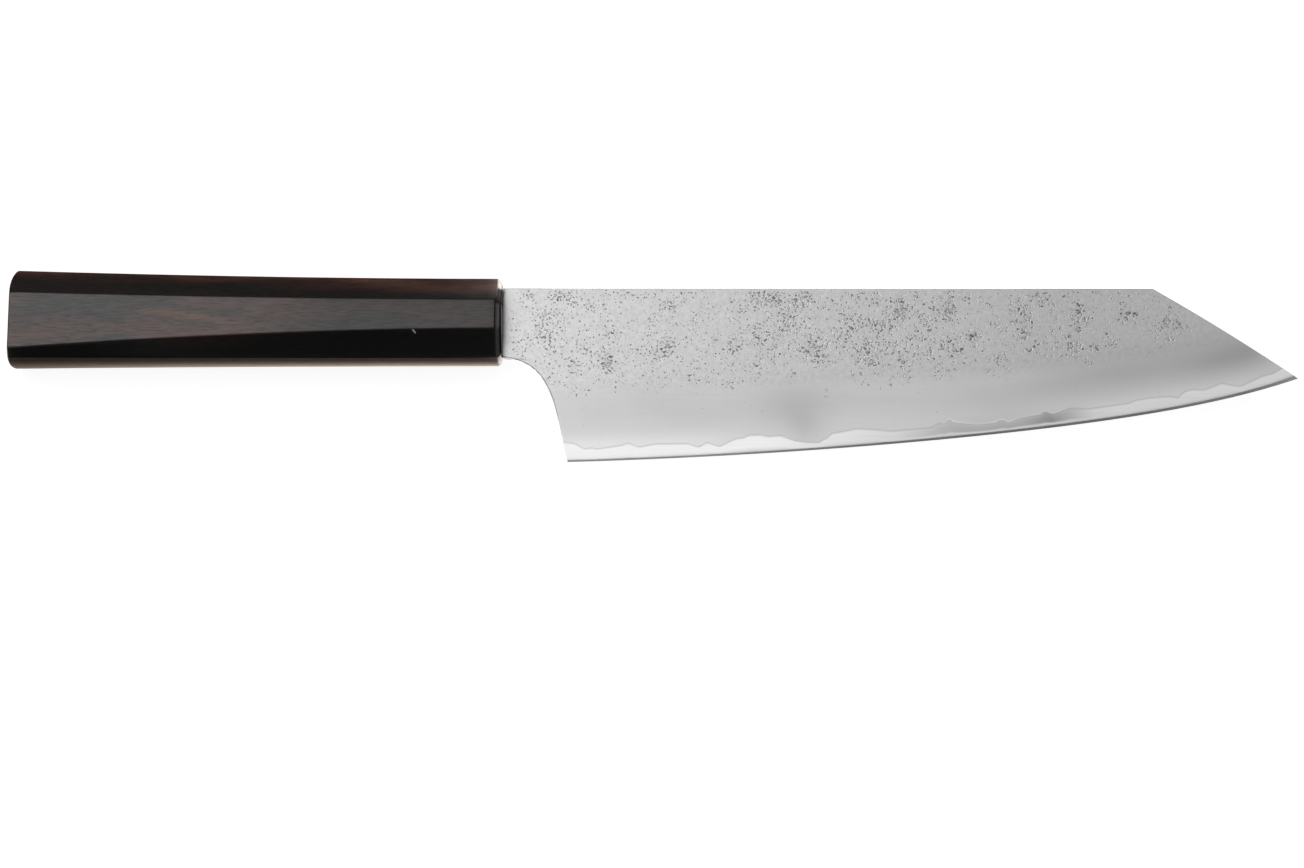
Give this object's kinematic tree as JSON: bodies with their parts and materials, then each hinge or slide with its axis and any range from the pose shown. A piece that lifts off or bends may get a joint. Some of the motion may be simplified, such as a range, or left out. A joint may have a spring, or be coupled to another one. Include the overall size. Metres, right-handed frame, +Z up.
{
  "type": "gyuto knife",
  "caption": "Long kitchen knife with a straight spine, clipped point and gently curved edge: a laminated steel blade held by its tang in a one-piece octagonal dark wood handle.",
  "frame": {"origin": "under the middle of the knife's box, on the surface that the handle's left side flat lies on", "axes": "+X along the blade to the tip, +Y from the edge to the spine in the plane of the blade, +Z up, square to the blade"},
  "size_m": [0.3402, 0.051, 0.0212],
  "materials": {
    "core_steel": "fine satin",
    "cladding_steel": "pear-skin above, satin below",
    "handle_wood": "oiled and polished dark hardwood",
    "shim_wood": "planed",
    "bedding_resin": "cast resin",
    "seal_resin": "cast black resin"
  },
  "bodies": {
    "root": {"core_steel": "core_steel", "cladding_right": "cladding_steel", "cladding_left": "cladding_steel", "tang_shim_right": "shim_wood", "tang_shim_left": "shim_wood", "tang_bedding": "bedding_resin", "machi_seal": "seal_resin", "handle_body": "handle_wood"}
  },
  "joints": []
}
